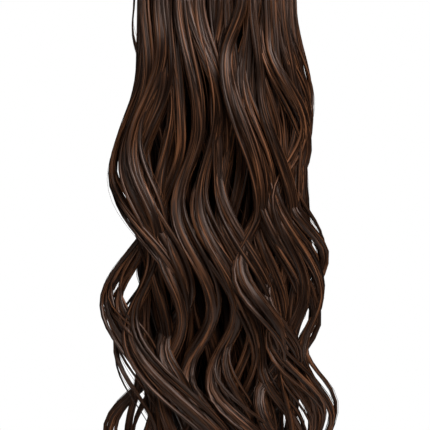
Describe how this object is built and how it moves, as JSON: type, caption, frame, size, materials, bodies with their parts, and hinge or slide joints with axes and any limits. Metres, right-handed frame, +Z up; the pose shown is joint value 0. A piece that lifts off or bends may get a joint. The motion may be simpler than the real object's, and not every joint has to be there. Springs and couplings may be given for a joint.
{
  "type": "ponytail hairpiece",
  "caption": "Long ponytail of false hair, straight at the top and in loose waves below, sewn to an oval base with a comb that pins it to the head.",
  "frame": {"origin": "middle of the comb's spine on its back face, where the piece pins on to the head", "axes": "+Z up along the hanging hair, +Y towards the wearer's head, +X to the right of someone who faces the hair"},
  "size_m": [0.1869, 0.0817, 0.5552],
  "materials": {
    "hair": "dark brown synthetic fibre with chestnut streaks and a soft silky sheen",
    "base_net": "matt near-black stretch net with a stitched edge",
    "comb_plastic": "moulded dark brown plastic, satin"
  },
  "bodies": {
    "root": {"front_weft": "hair", "middle_weft": "hair", "back_weft": "hair", "base": "base_net", "comb": "comb_plastic"}
  },
  "joints": []
}
